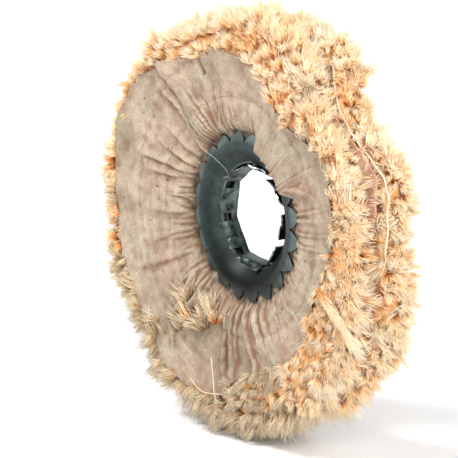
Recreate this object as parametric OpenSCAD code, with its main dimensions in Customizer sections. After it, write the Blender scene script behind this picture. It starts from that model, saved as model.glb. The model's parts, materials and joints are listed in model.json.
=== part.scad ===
// Ventilated polishing wheel: two sections of woven sisal between cotton covers,
// gathered at the hub and gripped by a pair of toothed sheet-steel clinch rings.
//
// The wheel turns about Y. The origin is the centre of the bore, -Y is the front face, +Z is up.
// Inside the modules the wheel lies flat: X and Y span the wheel and Z points out of the front face.

/* [Wheel] */
// Diameter over the tips of the sisal tufts
wheel_d = 250; // [200:1:300]
// Thickness of the two sections together at the rim
rim_t = 32; // [28:1:44]
// Width of the groove between the two sections at the rim
groove_w = 5; // [2:0.5:8]
// Depth of the frayed tufts at the edge of each sisal ply
tuft_l = 9; // [4:0.5:16]
// Number of tufts around one sisal ply
tuft_count = 72; // [36:1:96]

/* [Cloth] */
// Number of sisal plies in each section
plies = 4; // [2:1:5]
// Thickness of the cotton cover cloth
cover_t = 0.6; // [0.3:0.1:0.6]
// Diameter that the front and back covers are cut to
cover_d = 202; // [150:1:206]
// How far the front cover's cut edge lies off the wheel's centre
front_cover_shift = 17; // [0:1:20]
// How far the back cover's cut edge lies off the wheel's centre
back_cover_shift = 6; // [0:1:20]
// Diameter of the two covers that face each other in the groove
inner_cover_d = 234; // [160:1:240]
// Gap left between neighbouring layers of cloth
layer_gap = 0.06; // [0.04:0.01:0.1]

/* [Stitching] */
// Diameter of the inner row of lockstitches
inner_row_d = 140; // [124:1:150]
// Diameter of the outer row of lockstitches
outer_row_d = 194; // [160:1:196]
// Distance from one needle hole to the next
stitch_pitch = 8; // [6:0.5:12]
// Length of thread that shows between two needle holes
stitch_l = 6; // [3:0.5:6]
// Thickness of the sewing thread
thread_d = 0.5; // [0.3:0.05:0.5]

/* [Clinch rings] */
// Diameter of the bore between the tabs
bore_d = 55; // [40:0.5:58]
// Diameter over the tips of the outer teeth
ring_d = 100; // [88:1:120]
// Thickness of the sheet steel
steel_t = 0.9; // [0.6:0.1:1.2]
// Thickness of the hub over the rings' shoulders
hub_t = 24; // [20:0.5:29]
// Distance between the two rings' lips
lip_gap = 9; // [7:0.5:11]
// Number of outer teeth on each ring
teeth = 20; // [14:1:24]
// Length of an outer tooth
tooth_l = 7; // [5:0.5:8]
// Length of the round collar that lines the bore
collar_l = 6; // [5:0.5:7]
// Number of tabs that run on from the collar and hold the front ring
tabs = 8; // [7:1:10]
// Width of the slot between two tabs
tab_slot = 3.5; // [2:0.5:4]
// Length of a tab's flared end
flare_l = 2.5; // [1.5:0.5:3]
// Angle that a tab's end flares outwards
flare_angle = 25; // [15:1:35]
// Clearance between the two rings, and between a ring and the cloth
ring_clearance = 0.1; // [0.05:0.05:0.3]

/* [Hidden] */
$fn = 96;

SIDES = ["front", "back"];
ROWS = ["inner", "outer"];

steel_colour = "slategray";
cotton_colour = "antiquewhite";
sisal_colour = "navajowhite";
thread_colour = "peru";

wheel_r = wheel_d / 2;
bore_r = bore_d / 2;
ring_r = ring_d / 2;
root_r = ring_r - tooth_l;                        // where the outer teeth begin
tab_w = 2 * bore_r * tan(180 / tabs) - tab_slot;  // a tab is flat, so its corners stand proud of the bore
tab_corner_r = norm([bore_r + steel_t, tab_w / 2]);
stub_r = tab_corner_r + ring_clearance;           // inside of the front ring's stub
lip_r = stub_r + steel_t;                         // where each dish starts
cloth_r = lip_r + ring_clearance;                 // gathered inner edge of the cloth
lip_h = lip_gap / 2;
shoulder_h = hub_t / 2;
steel_rise = 1.25 * steel_t;                      // the sheet measured along the axis, on the slope
tooth_dip = 0.8;                                  // how far a tooth's tip bites down into the cloth
tooth_seat_h = shoulder_h - steel_t - tooth_dip - 2 * ring_clearance;
bulge_r = ring_r + 3;                             // where the cloth comes out from under the teeth
dish_steps = 8;
stub_l = 3;                                       // length of the front ring's stub inside the bore

// Height of a dished ring's outer surface: steep at the lip, level at the shoulder.
function dish_h(r) =
    lip_h + (shoulder_h - lip_h) * sin(90 * max(0, min(1, (r - lip_r) / (root_r - lip_r))));

// Share of the way from the ring to the rim, for the cloth that fans out between them.
function fan(r) = max(0, (r - bulge_r) / (wheel_r - bulge_r));

// Half the thickness of the whole stack of cloth.
function stack_h(r) =
    r < root_r ? min(tooth_seat_h, dish_h(r) - steel_rise - ring_clearance)
               : tooth_seat_h + (rim_t / 2 - tooth_seat_h) * pow(fan(r), 0.6);

// Half the width of the groove between the two sections. It opens far enough for the bobbin threads
// of both sections to lie in it side by side from the inner row outwards.
row_start_r = inner_row_d / 2 - 2 * thread_d;
thread_room = thread_d + layer_gap;
function groove_h(r) =
    layer_gap / 2
    + thread_room * max(0, min(1, (r - bulge_r) / (row_start_r - bulge_r)))
    + ((groove_w - layer_gap) / 2 - thread_room) * fan(r);

// Where layer number i of a section starts and ends: 0 is the outer cover, the last one the inner cover.
last_layer = plies + 1;
function ply_t(r) = (stack_h(r) - groove_h(r) - 2 * cover_t - last_layer * layer_gap) / plies;
function layer_top(i, r) =
    i == 0 ? stack_h(r) : stack_h(r) - cover_t - layer_gap - (i - 1) * (ply_t(r) + layer_gap);
function layer_bottom(i, r) =
    layer_top(i, r) - (i == 0 || i == last_layer ? cover_t : ply_t(r));

// Radii at which the cloth's profile has a point.
function stations(edge_r) = concat(
    [for (i = [0 : 6]) cloth_r + (root_r - cloth_r) * i / 6],
    [bulge_r],
    [for (i = [0 : 6]) row_start_r + (edge_r - row_start_r) * pow(i / 6, 1.3)]
);

// Uneven, but the same each time: a value from -1 to 1 for each i.
function wobble(i, seed = 0) = sin(137.5 * i + 61 * seed) * cos(71 * i + 29 * seed);

// Stands the wheel on its rim: the front face looks along -Y.
module stand() {
    rotate([90, 0, 0]) children();
}

// The back half is the front half turned over.
module on_side(side) {
    if (side == "front") children();
    else rotate([180, 0, 0]) children();
}

// ---- Clinch rings ----

// The dish, from its lip to the root of its teeth.
module dish() {
    rs = [for (i = [0 : dish_steps]) lip_r + (root_r - lip_r) * i / dish_steps];
    rotate_extrude()
        polygon(concat(
            [for (r = rs) [r, dish_h(r)]],
            [for (i = [dish_steps : -1 : 0]) [rs[i], dish_h(rs[i]) - steel_rise]]
        ));
}

// One pointed tooth, pressed down onto the cloth; no two are quite alike.
module tooth(i) {
    base_w = 2 * PI * root_r / teeth * 0.94;
    length = tooth_l * (0.9 + 0.1 * wobble(i));
    lean = base_w * 0.12 * wobble(i, 1);
    overlap = 2.5;
    tilt = atan(tooth_dip / tooth_l) * (0.75 + 0.25 * wobble(i, 2));
    translate([root_r, 0, shoulder_h - steel_t])
        rotate([0, tilt, 0])
            linear_extrude(steel_t)
                polygon([
                    [-overlap, -base_w * 0.46],
                    [0, -base_w * 0.5],
                    [length * 0.45, -base_w * 0.42],
                    [length * 0.85, lean - base_w * 0.12],
                    [length, lean],
                    [length * 0.85, lean + base_w * 0.12],
                    [length * 0.45, base_w * 0.42],
                    [0, base_w * 0.5],
                    [-overlap, base_w * 0.46]
                ]);
}

module crown_of_teeth(seed) {
    for (i = [0 : teeth - 1])
        rotate(360 / teeth * i)
            tooth(i + seed);
}

// Joins the dish's lip to a tube that runs into the bore.
module lip(inner_r, depth) {
    rotate_extrude()
        polygon([
            [inner_r, lip_h - depth],
            [inner_r, lip_h - steel_t * 0.4],
            [inner_r + steel_t * 0.4, lip_h],
            [lip_r, lip_h],
            [lip_r + steel_t, dish_h(lip_r + steel_t)],
            [lip_r + steel_t, dish_h(lip_r + steel_t) - steel_rise],
            [lip_r, lip_h - steel_rise],
            [inner_r + steel_t, lip_h - steel_rise],
            [inner_r + steel_t, lip_h - depth]
        ]);
}

// One flat tab. It stands on the end of the collar, passes through the other ring and flares outwards.
module tab() {
    root_h = lip_h - collar_l;
    bend_h = -lip_h - ring_clearance;
    overlap = 1.2;
    rotate([90, 0, 0])
        linear_extrude(tab_w, center = true)
            polygon([
                [bore_r, root_h + overlap],
                [bore_r, bend_h],
                [bore_r + flare_l * sin(flare_angle), bend_h - flare_l * cos(flare_angle)],
                [bore_r + flare_l * sin(flare_angle) + steel_t * cos(flare_angle),
                 bend_h - flare_l * cos(flare_angle) + steel_t * sin(flare_angle)],
                [bore_r + steel_t, bend_h + steel_t * tan(flare_angle / 2)],
                [bore_r + steel_t, root_h + overlap]
            ]);
}

module front_clinch_ring() {
    color(steel_colour) stand() {
        dish();
        crown_of_teeth(0);
        lip(stub_r, stub_l);
    }
}

// The back ring carries the collar, and the tabs that run through the bore and hold the front ring.
module back_clinch_ring() {
    slot_depth = 2.5;
    color(steel_colour) stand() on_side("back") {
        dish();
        crown_of_teeth(7);
        difference() {
            lip(bore_r, collar_l);
            for (i = [0 : tabs - 1])
                rotate(360 / tabs * (i + 0.5))
                    translate([bore_r - 1, -tab_slot / 2, lip_h - collar_l - 1])
                        cube([steel_t + 2, tab_slot, slot_depth + 1]);
        }
        for (i = [0 : tabs - 1])
            rotate(360 / tabs * i)
                tab();
    }
}

// ---- Cloth and sisal ----

// One layer of a section, as wide as edge_r.
module layer(i, edge_r) {
    rs = stations(edge_r);
    last = len(rs) - 1;
    rotate_extrude()
        polygon(concat(
            [for (r = rs) [r, layer_top(i, r)]],
            [for (k = [last : -1 : 0]) [rs[k], layer_bottom(i, rs[k])]]
        ));
}

// An outer cover: its cut edge is a circle that is off the wheel's centre.
module outer_cover(side) {
    shift = side == "front" ? front_cover_shift : back_cover_shift;
    reach = cover_d / 2 + shift;
    color(cotton_colour) stand() on_side(side)
        intersection() {
            layer(0, reach);
            translate([-shift, 0, -hub_t])
                cylinder(h = 2 * hub_t + rim_t, d = cover_d);
        }
}

module inner_cover(side) {
    color(cotton_colour) stand() on_side(side)
        layer(last_layer, inner_cover_d / 2);
}

// The outline of a sisal ply: yarn ends frayed into tufts of uneven length.
module frayed_outline(seed) {
    step = 360 / tuft_count;
    valley_r = wheel_r - tuft_l;
    polygon([
        for (i = [0 : tuft_count - 1], side = [0 : 2])
            let (
                crown_r = wheel_r - tuft_l * 0.3 * abs(wobble(i, seed)),
                r = side == 0 ? valley_r : crown_r,
                a = step * (i + [0, 0.35, 0.7][side]) + step * 0.2 * wobble(i, seed + side)
            )
            [r * cos(a), r * sin(a)]
    ]);
}

module sisal_ply(side, k) {
    seed = k + (side == "front" ? 0 : plies);
    color(sisal_colour) stand() on_side(side)
        intersection() {
            layer(k, wheel_r);
            translate([0, 0, -rim_t])
                rotate(360 * wobble(seed))
                    linear_extrude(2 * rim_t)
                        frayed_outline(seed);
        }
}

// ---- Stitching ----

function row_d(row) = row == "inner" ? inner_row_d : outer_row_d;

// Height of what a needle thread lies on at (r, angle): the cover, or the sisal past its cut edge.
function seat_h(side, r, angle) =
    let (
        shift = side == "front" ? front_cover_shift : back_cover_shift,
        from_cut_centre = norm([r * cos(angle) + shift, r * sin(angle)]),
        on_cover = from_cut_centre < cover_d / 2 + stitch_l
    )
    on_cover ? layer_top(0, r) : layer_top(1, r);

// One ring of stitches, each a short length of thread between two needle holes.
module stitch_ring(row, phase, side, outside) {
    r = row_d(row) / 2;
    count = round(PI * row_d(row) / stitch_pitch);
    for (i = [0 : count - 1]) {
        angle = 360 / count * (i + phase);
        lift = thread_d / 2 + layer_gap / 2;
        h = outside ? seat_h(side, r, angle) + lift + 0.1 : layer_bottom(last_layer, r) - lift;
        rotate(angle)
            translate([r, 0, h])
                rotate([90, 0, 0])
                    cylinder(h = stitch_l, d = thread_d, center = true, $fn = 16);
    }
}

module needle_thread(side, row) {
    color(thread_colour) stand() on_side(side)
        stitch_ring(row, 0, side, true);
}

// The bobbin threads of the two sections face each other in the groove, half a stitch apart.
module bobbin_thread(side, row) {
    color(thread_colour) stand() on_side(side)
        stitch_ring(row, side == "front" ? 0.25 : -0.25, side, false);
}

// ---- Nodes ----

front_clinch_ring();
back_clinch_ring();
for (side = SIDES) {
    outer_cover(side);
    inner_cover(side);
    for (k = [1 : plies])
        sisal_ply(side, k);
    for (row = ROWS) {
        needle_thread(side, row);
        bobbin_thread(side, row);
    }
}
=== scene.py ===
# %% [markdown]
# # A ventilated sisal polishing wheel
#
# The wheel is two thick discs of woven sisal between thin cotton covers. Both are gathered at the
# hub and gripped by two stamped steel rings, whose teeth bite into the cloth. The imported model
# holds the true sizes. Each of its plain solids is replaced here by a piece with the shape and
# finish of the real one.

import json
from math import cos, pi, radians, sin

import bmesh
import bpy
import numpy as np
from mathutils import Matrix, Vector


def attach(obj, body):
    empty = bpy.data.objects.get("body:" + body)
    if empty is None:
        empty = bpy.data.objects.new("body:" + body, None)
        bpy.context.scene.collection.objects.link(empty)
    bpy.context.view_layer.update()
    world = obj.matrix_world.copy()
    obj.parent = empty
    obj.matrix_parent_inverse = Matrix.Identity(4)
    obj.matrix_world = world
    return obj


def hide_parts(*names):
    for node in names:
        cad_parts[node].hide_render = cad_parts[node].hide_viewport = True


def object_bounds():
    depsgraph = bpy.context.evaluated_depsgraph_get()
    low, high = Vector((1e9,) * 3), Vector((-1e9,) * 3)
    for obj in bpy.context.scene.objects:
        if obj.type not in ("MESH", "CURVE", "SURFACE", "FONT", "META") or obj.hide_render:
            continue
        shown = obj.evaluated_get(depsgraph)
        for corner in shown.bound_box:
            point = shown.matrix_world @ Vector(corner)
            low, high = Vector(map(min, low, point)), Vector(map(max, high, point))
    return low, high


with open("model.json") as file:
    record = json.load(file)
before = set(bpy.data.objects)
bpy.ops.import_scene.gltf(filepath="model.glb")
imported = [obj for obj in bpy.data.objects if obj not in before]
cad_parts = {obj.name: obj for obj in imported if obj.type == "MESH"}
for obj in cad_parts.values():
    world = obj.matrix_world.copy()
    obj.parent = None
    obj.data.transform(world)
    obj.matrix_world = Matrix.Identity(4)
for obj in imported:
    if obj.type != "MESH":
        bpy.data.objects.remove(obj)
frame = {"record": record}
cad_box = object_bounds()
bpy.ops.object.select_all(action="DESELECT")
MM = 0.001
print("packed model:", [round(v / MM) for v in cad_box[1] - cad_box[0]], "mm")

# %% [markdown]
# ## Camera, floor and light
#
# A long lens from three metres away keeps circles close to true ellipses. The camera looks at the
# front face from its right side and from a little above, and aims just below the hub.

# %% Camera
AZIMUTH, ELEVATION = radians(53.5), radians(12)
DISTANCE = 3.0
VIEW_WIDTH = 262.6 * MM
SENSOR = 36.0
AIM_LEFT, AIM_DOWN = 8.6 * MM, 6.9 * MM

back_way = Vector((sin(AZIMUTH) * cos(ELEVATION), -cos(AZIMUTH) * cos(ELEVATION), sin(ELEVATION)))
right_way = Vector((cos(AZIMUTH), sin(AZIMUTH), 0))
up_way = back_way.cross(right_way)
hub_front = Vector((0, -11.7, 0)) * MM
aim = hub_front - right_way * AIM_LEFT - up_way * AIM_DOWN

bpy.ops.object.camera_add(location=aim + back_way * DISTANCE)
camera = bpy.context.object
camera.rotation_euler = (-back_way).to_track_quat("-Z", "Y").to_euler()
camera.data.sensor_width = SENSOR
camera.data.lens = SENSOR * DISTANCE / VIEW_WIDTH
bpy.context.scene.camera = camera
print("camera lens", round(camera.data.lens), "mm")

# %% [markdown]
# A white sky lights every side evenly. A soft sun from the upper left models the pleats, and one
# from the right shines straight into the frayed rim, so that the straw colour of the sisal isn't
# lost in shadow. A weak one behind keeps the far side readable when the wheel is seen from the
# back.

# %% Floor and light
world = bpy.data.worlds.new("pale_studio")
world.use_nodes = True
sky = world.node_tree.nodes["Background"].inputs
sky["Color"].default_value = (1, 1, 1, 1)
sky["Strength"].default_value = 0.5
bpy.context.scene.world = world
bpy.context.scene.view_settings.view_transform = "Standard"

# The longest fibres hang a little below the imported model.
FLOOR_DROP, FLOOR_SIZE = 6 * MM, 60
floor_z = cad_box[0].z - FLOOR_DROP
bpy.ops.mesh.primitive_plane_add(size=FLOOR_SIZE, location=(0, 0, floor_z))
floor = bpy.context.object
floor.name = "pale_floor"


def soft_sun(name, azimuth, elevation, softness, strength):
    """A lamp far away, placed by the compass angle and height it shines from."""
    a, e = radians(azimuth), radians(elevation)
    way = Vector((sin(a) * cos(e), -cos(a) * cos(e), sin(e)))
    bpy.ops.object.light_add(type="SUN", location=way)
    lamp = bpy.context.object
    lamp.name = name
    lamp.data.angle = radians(softness)
    lamp.data.energy = strength
    lamp.rotation_euler = (-way).to_track_quat("-Z", "Y").to_euler()


soft_sun("key_upper_left", azimuth=-38, elevation=50, softness=14, strength=2.2)
soft_sun("fill_right", azimuth=70, elevation=24, softness=40, strength=3.0)
soft_sun("weak_rear", azimuth=215, elevation=30, softness=60, strength=0.6)

# %% [markdown]
# ## Materials
#
# One function adds a node with its settings and links. Colours are written as they look on a screen
# and turned to linear light by another. Every pattern's scale comes from a real size.

# %% Node and colour helpers
# The settings of a Mix node for colours. Its sockets are 0 for the share, 6 and 7 for the colours.
BLEND = {"data_type": "RGBA"}
MULTIPLY = {"data_type": "RGBA", "blend_type": "MULTIPLY"}


def linear(hex_colour):
    """A screen colour such as "#c8b090" as linear red, green, blue and alpha."""
    parts = [int(hex_colour[i : i + 2], 16) / 255 for i in (1, 3, 5)]
    return (*((c / 12.92 if c <= 0.04045 else ((c + 0.055) / 1.055) ** 2.4) for c in parts), 1)


def new_material(name, roughness, metallic=0.0, specular=0.5, colour=None):
    material = bpy.data.materials.new(name)
    material.use_nodes = True
    surface = material.node_tree.nodes["Principled BSDF"].inputs
    surface["Roughness"].default_value = roughness
    surface["Metallic"].default_value = metallic
    surface["Specular IOR Level"].default_value = specular
    if colour:
        surface["Base Color"].default_value = linear(colour)
    return material

# %% [markdown]
# Every pattern is a small network of nodes. All of them are made by one function, which takes
# what a node needs in the words of the node editor. The others here join a network to the
# surface, turn a real size into a scale, and measure the way out from the axle.

# %% Nodes
def add_node(material, kind, numbered=(), stops=(), **named):
    """Adds a node with its settings and links.

    Sockets go by name, or by number in a dictionary, and are given a constant or a (node, output)
    pair to link to. Other names are the node's own settings. Stops are a ramp's (position, colour).
    """
    node = material.node_tree.nodes.new("ShaderNode" + kind)
    sockets = dict(numbered)
    for name, value in named.items():
        socket = name.replace("_", " ").title()
        if socket in node.inputs:
            sockets[socket] = value
        else:
            setattr(node, name, value)
    for socket, value in sockets.items():
        if isinstance(value, tuple) and isinstance(value[0], bpy.types.Node):
            material.node_tree.links.new(value[0].outputs[value[1]], node.inputs[socket])
        else:
            node.inputs[socket].default_value = value
    if stops:
        for _ in stops[2:]:
            node.color_ramp.elements.new(0.5)
        for element, (position, colour) in zip(node.color_ramp.elements, stops):
            element.position = position
            element.color = linear(colour)
    return node


def finish_material(material, colour, output="Color", bump=None):
    """Joins a colour, and a bump node if there is one, to the material's surface."""
    surface = material.node_tree.nodes["Principled BSDF"].inputs
    material.node_tree.links.new(colour.outputs[output], surface["Base Color"])
    if bump:
        material.node_tree.links.new(bump.outputs["Normal"], surface["Normal"])
    return material


def per_metre(size_mm):
    """Noise and cell textures take a scale: how many features of this size fit in a metre."""
    return 1000 / size_mm


def share_of_radius(material, place, start, end):
    """How far out from the axle a point lies, as 0 at one radius in mm and 1 at another."""
    in_plane = add_node(material, "VectorMath", {0: place, 1: (1, 0, 1)}, operation="MULTIPLY")
    radius = add_node(material, "VectorMath", {0: (in_plane, "Vector")}, operation="LENGTH")
    return add_node(
        material, "MapRange", value=(radius, "Value"), from_min=start * MM, from_max=end * MM
    )


# %% [markdown]
# ### Floor
#
# Matt white paint: one even colour, because the floor is only there to catch the light.

# %% White floor
floor.data.materials.append(new_material("matt_white_paint", roughness=0.9, colour="#fbfbfb"))

# %% [markdown]
# ### Stamped steel
#
# The rings are deep-drawn from sheet steel with a thin grey-green phosphate coat over zinc. It is a
# dull metal, cloudy where handling has polished it, and pitted with dark specks. Its colour also goes
# by radius, partly wear and partly painted light: the teeth, the lip and the tabs are painted bright,
# the lip with a painted highlight line and a thin painted shade line inside it, and the dish between
# is painted dark as a painted dark reflection.

# %% Phosphated sheet steel
ring_steel = new_material("phosphated_sheet_steel", roughness=0.45, metallic=0.75)
place = (add_node(ring_steel, "TexCoord"), "Object")
clouds = add_node(
    ring_steel, "TexNoise", vector=place, scale=per_metre(14), detail=5.0, roughness=0.6
)
steel_tone = add_node(
    ring_steel, "ValToRGB", fac=(clouds, "Fac"),
    stops=[(0.30, "#626d6c"), (0.50, "#7f8b89"), (0.70, "#a7b2b0")],
)
ring_share = (share_of_radius(ring_steel, place, 26, 51), "Result")
# Painted light by radius, partly real wear: bright tabs and collar, a painted shade line and a
# painted highlight line at the lip, a dark painted reflection in the dish, and bright teeth.
wear_and_painted_light = add_node(ring_steel, "ValToRGB", fac=ring_share, stops=[
    (0.0, "#c3ccca"), (0.12, "#a9b3b1"), (0.17, "#5d6665"), (0.19, "#d4dcda"), (0.23, "#77807e"),
    (0.45, "#5a6362"), (0.68, "#707a79"), (0.77, "#b4bebc"), (1.0, "#eef4f2"),
])
steel_with_painted_light = add_node(
    ring_steel, "Mix", {6: (steel_tone, "Color"), 7: (wear_and_painted_light, "Color")}, factor=1.0, **MULTIPLY
)
pits = add_node(ring_steel, "TexNoise", vector=place, scale=per_metre(1.6), detail=3.0)
pit_mask = add_node(
    ring_steel, "ValToRGB", fac=(pits, "Fac"), stops=[(0.27, "#3a3430"), (0.36, "#ffffff")]
)
steel_colour = add_node(
    ring_steel, "Mix", {6: (steel_with_painted_light, "Result"), 7: (pit_mask, "Color")}, factor=0.8, **MULTIPLY
)

# %% [markdown]
# Blotches of dirt cling to the collar. Low in the dish the steel is painted darker, as painted shade.

# %% Dirt on the collar and painted shade low in the dish
blotches = add_node(ring_steel, "TexNoise", vector=place, scale=per_metre(5), detail=4.0)
collar_dirt = add_node(
    ring_steel, "ValToRGB", fac=(blotches, "Fac"), stops=[(0.33, "#35302d"), (0.60, "#ffffff")]
)
on_collar = add_node(
    ring_steel, "ValToRGB", fac=ring_share, stops=[(0.14, "#ffffff"), (0.22, "#000000")]
)
dirty_steel = add_node(ring_steel, "Mix", {
    0: (on_collar, "Color"), 6: (steel_colour, "Result"), 7: (collar_dirt, "Color"),
}, **MULTIPLY)
place_parts = add_node(ring_steel, "SeparateXYZ", vector=place)
# Painted shade: the steel is painted darker towards the bottom of the dish.
painted_shade_low_in_dish = add_node(
    ring_steel, "MapRange", value=(place_parts, "Z"), from_min=-14 * MM, from_max=-36 * MM
)
steel_shaded_low_in_dish = add_node(ring_steel, "Mix", {
    0: (painted_shade_low_in_dish, "Result"), 6: (dirty_steel, "Result"), 7: linear("#868886"),
}, **MULTIPLY)
dents = add_node(ring_steel, "Bump", height=(clouds, "Fac"), strength=0.25, distance=0.4 * MM)
finish_material(ring_steel, steel_shaded_low_in_dish, "Result", dents)

# %% [markdown]
# ### Plain finishes
#
# The blanked edges of the sheet are bare: dark with grease and rust on the teeth, and rubbed bright
# on the lip and the tabs. The stitches are waxed cotton thread, browned by polishing compound. Each
# of the three is one noise through one colour ramp.

# %% Blanked edges and waxed thread
PLAIN_FINISHES = (
    # name, roughness, metallic, specular, size of a blotch in mm, detail, colours
    ("blanked_steel_edge", 0.6, 0.5, 0.5, 5, 4.0, [(0.35, "#1c1c1b"), (0.62, "#3f3733")]),
    ("bright_worn_steel", 0.35, 0.8, 0.5, 2.2, 3.0,
     [(0.40, "#2b2725"), (0.52, "#7d8685"), (0.66, "#b9c1bf")]),
    ("waxed_cotton_thread", 0.7, 0.0, 0.3, 4, 2.0, [(0.35, "#8a7160"), (0.65, "#a58d7a")]),
)
plain_finishes = []
for name, roughness, metallic, specular, blotch_size, detail, stops in PLAIN_FINISHES:
    material = new_material(name, roughness, metallic, specular)
    place = (add_node(material, "TexCoord"), "Object")
    blotch = add_node(
        material, "TexNoise", vector=place, scale=per_metre(blotch_size), detail=detail
    )
    tint = add_node(material, "ValToRGB", fac=(blotch, "Fac"), stops=stops)
    plain_finishes.append(finish_material(material, tint))
edge_steel, bright_steel, waxed_thread = plain_finishes
needle_hole = new_material("needle_hole_shadow", roughness=0.9, specular=0.1, colour="#4f372b")

# %% [markdown]
# ### Cotton cover cloth
#
# Unbleached plain-woven cotton, creased and a little dirty. Its threads are half a millimetre apart,
# which is too fine to show, so the weave is drawn 1.3 mm apart. Each vertex of a cover carries three
# values of its own: painted shade by how deep it lies in a fold, how soiled it is, and how black it
# is with grease and painted shadow under the teeth tips.

# %% Unbleached cotton
SHADES = (
    (0.9, 2.0, [(0.36, "#e6e1dc"), (0.5, "#f6f4f2"), (0.62, "#ffffff")]),
    (34, 3.0, [(0.36, "#f7f7f0"), (0.5, "#fffaf6"), (0.64, "#fff0ec")]),
)
# Painted on each vertex: fold is painted shade in creases, soil is real stains, and the third is
# black grease with painted shadow under the teeth tips.
PAINTED = (("fold", "MIX", "#84604b"), ("soil", "MULTIPLY", "#a59a80"), ("grime", "MIX", "#2c2622"))


def cotton(name, light, middle, dark):
    """Mottled cloth with fine grain and a slow drift of hue, then what is painted, then specks."""
    material = new_material(name, roughness=0.92, specular=0.2)
    spot = (add_node(material, "TexCoord"), "Object")
    mottle = add_node(
        material, "TexNoise", vector=spot, scale=per_metre(12), detail=8.0, roughness=0.66
    )
    ramp_stops = [(0.30, dark), (0.46, middle), (0.62, light)]
    colour = (add_node(material, "ValToRGB", fac=(mottle, "Fac"), stops=ramp_stops), "Color")
    for size, detail, stops in SHADES:
        grain = add_node(material, "TexNoise", vector=spot, scale=per_metre(size), detail=detail)
        shade = (add_node(material, "ValToRGB", fac=(grain, "Fac"), stops=stops), "Color")
        colour = (add_node(material, "Mix", {6: colour, 7: shade}, factor=1.0, **MULTIPLY), "Result")
    for attribute, blend_type, tint in PAINTED:
        share = (add_node(material, "Attribute", attribute_name=attribute), "Fac")
        mixed = {0: share, 6: colour, 7: linear(tint)}
        colour = (
            add_node(material, "Mix", mixed, data_type="RGBA", blend_type=blend_type), "Result"
        )
    dirt = add_node(material, "TexVoronoi", vector=spot, scale=per_metre(11), randomness=1.0)
    specks = add_node(
        material, "ValToRGB", fac=(dirt, "Distance"), stops=[(0.045, "#41342c"), (0.085, "#ffffff")]
    )
    specked = add_node(material, "Mix", {6: colour, 7: (specks, "Color")}, factor=0.85, **MULTIPLY)
    weave = add_node(material, "TexNoise", vector=spot, scale=per_metre(1.3), detail=2.0)
    bump = add_node(material, "Bump", height=(weave, "Fac"), strength=0.5, distance=0.35 * MM)
    return finish_material(material, specked, "Result", bump)


cover_cotton = cotton("unbleached_cotton", "#c0b5a4", "#ada191", "#978572")
inner_cotton = cotton("unbleached_cotton_inner", "#d9b79f", "#c9a188", "#b0866b")

# %% [markdown]
# ### Sisal
#
# Sisal is a stiff straw-coloured leaf fibre with a soft shine. At a frayed end the loose fibres are
# almost white. Deep in a tuft the light that has passed between them is orange, and this is painted:
# each fibre is painted deeper orange towards its root, as painted shade. Each fibre carries a map:
# across it runs the tone of its tuft, and along it the way from root to tip. Tones from 0 to 0.75 go
# from pale to golden, and those from 0.86 to 0.97 from brown to cream.

# %% Sisal fibre
FIBRE_MAP = "OFBake"
GOLDEN, BROWN, CREAM = 0.75, 0.86, 0.97
# Root to tip for each tone: the deep orange or brown at the root end is painted shade inside a tuft.
ROOT_TO_TIP = (
    [(0.0, "#cf7234"), (0.26, "#f3ba7e"), (0.54, "#fde5ba"), (1.0, "#fffbee")],
    [(0.0, "#c26226"), (0.28, "#eb9c57"), (0.60, "#fbca8c"), (1.0, "#ffedcb")],
    [(0.0, "#8a6547"), (0.35, "#b99a7a"), (1.0, "#d3bea2")],
    [(0.0, "#ab8a66"), (0.35, "#dcc39c"), (1.0, "#f3e6cc")],
)

sisal_fibre = new_material("frayed_sisal_fibre", roughness=0.7, specular=0.2)
fibre_map = add_node(sisal_fibre, "UVMap", uv_map=FIBRE_MAP)
map_parts = add_node(sisal_fibre, "SeparateXYZ", vector=(fibre_map, "UV"))
pale, gold, brown, cream = (
    (add_node(sisal_fibre, "ValToRGB", fac=(map_parts, "Y"), stops=stops), "Color")
    for stops in ROOT_TO_TIP
)
how_gold, how_clean, is_soiled = (
    (add_node(sisal_fibre, "MapRange", value=(map_parts, "X"), from_min=low, from_max=high), "Result")
    for low, high in ((0, GOLDEN), (BROWN, CREAM), (0.78, 0.84))
)
unsoiled = (add_node(sisal_fibre, "Mix", {0: how_gold, 6: pale, 7: gold}, **BLEND), "Result")
soiled = (add_node(sisal_fibre, "Mix", {0: how_clean, 6: brown, 7: cream}, **BLEND), "Result")
fibre_colour = add_node(sisal_fibre, "Mix", {0: is_soiled, 6: unsoiled, 7: soiled}, **BLEND)
finish_material(sisal_fibre, fibre_colour, "Result")

# %% [markdown]
# The woven body of a ply is orange straw with lumpy yarns, and painted black close to the hub, as
# painted shade where it lies deep between the rings.

# %% Woven sisal
woven_sisal = new_material("woven_sisal", roughness=0.8, specular=0.25)
place = (add_node(woven_sisal, "TexCoord"), "Object")
yarn_noise = add_node(woven_sisal, "TexNoise", vector=place, scale=per_metre(5), detail=6.0)
woven_colour = add_node(
    woven_sisal, "ValToRGB", fac=(yarn_noise, "Fac"),
    stops=[(0.3, "#c57b45"), (0.5, "#eaae6e"), (0.7, "#fbd09a")],
)
# Painted shade: the woven body is painted black towards the hub.
hub_shade = add_node(
    woven_sisal, "ValToRGB", fac=(share_of_radius(woven_sisal, place, 0, 60), "Result"),
    stops=[(0.60, "#0e0b09"), (0.78, "#ffffff")],
)
woven_colour_with_hub_shade = add_node(
    woven_sisal, "Mix", {6: (woven_colour, "Color"), 7: (hub_shade, "Color")}, factor=1.0, **MULTIPLY
)
yarn_bump = add_node(
    woven_sisal, "Bump", height=(yarn_noise, "Fac"), strength=0.8, distance=0.8 * MM
)
finish_material(woven_sisal, woven_colour_with_hub_shade, "Result", yarn_bump)
print("materials:", len(bpy.data.materials))

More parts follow.
